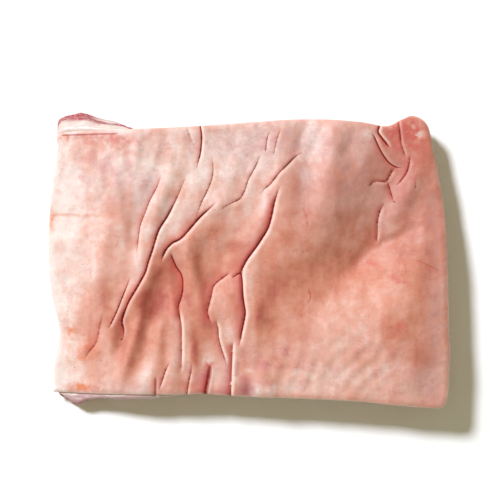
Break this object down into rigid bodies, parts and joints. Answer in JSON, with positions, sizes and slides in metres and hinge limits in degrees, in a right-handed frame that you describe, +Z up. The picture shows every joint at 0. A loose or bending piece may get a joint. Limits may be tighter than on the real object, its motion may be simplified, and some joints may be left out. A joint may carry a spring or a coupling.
{
  "type": "pork belly slab",
  "caption": "Raw boneless pork belly slab with the skin on, lying skin side up: creased pink skin over cut sides of fat and lean, flat underneath.",
  "frame": {"origin": "on the board, under the middle of the slab's outline", "axes": "+X along the slab towards its thicker end, +Y across it towards the back edge, +Z up through the skin"},
  "size_m": [0.33, 0.2392, 0.0447],
  "materials": {
    "pork_skin": "pale pink raw pork skin, moist satin",
    "pork_flesh": "raw fat and lean in layers, moist satin"
  },
  "bodies": {
    "root": {"pork_belly_slab": "pork_skin"}
  },
  "joints": []
}
